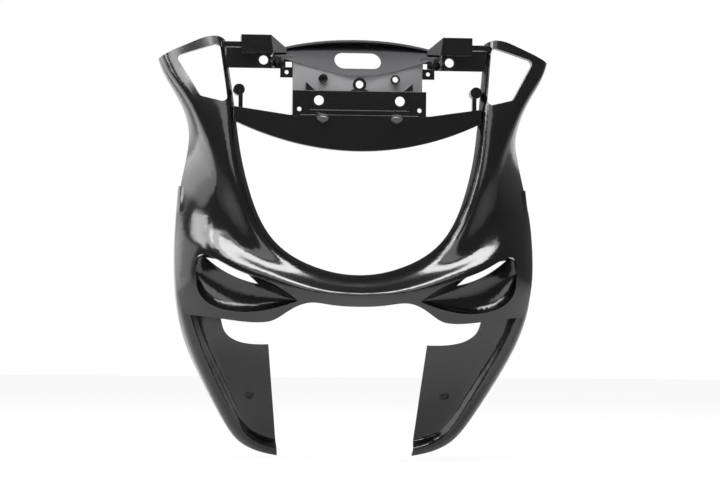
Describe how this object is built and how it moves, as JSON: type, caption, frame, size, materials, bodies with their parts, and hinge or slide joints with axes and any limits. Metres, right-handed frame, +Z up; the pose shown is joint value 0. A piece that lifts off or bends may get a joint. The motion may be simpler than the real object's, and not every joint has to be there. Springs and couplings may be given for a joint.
{
  "type": "scooter front cover",
  "caption": "Gloss black moulded scooter front cover with headlight opening, turn-signal loops, air intakes, swept lower wings and a bridge of mounting plates.",
  "frame": {"origin": "midway between the two big bracket bolt holes, on the front face of the sunk bracket panel", "axes": "-Y is the front of the cover, along the bracket bolts; +Z is up; X runs across"},
  "size_m": [0.4326, 0.1903, 0.4648],
  "materials": {
    "black_abs": "gloss"
  },
  "bodies": {
    "root": {"front_cover": "black_abs"}
  },
  "joints": []
}
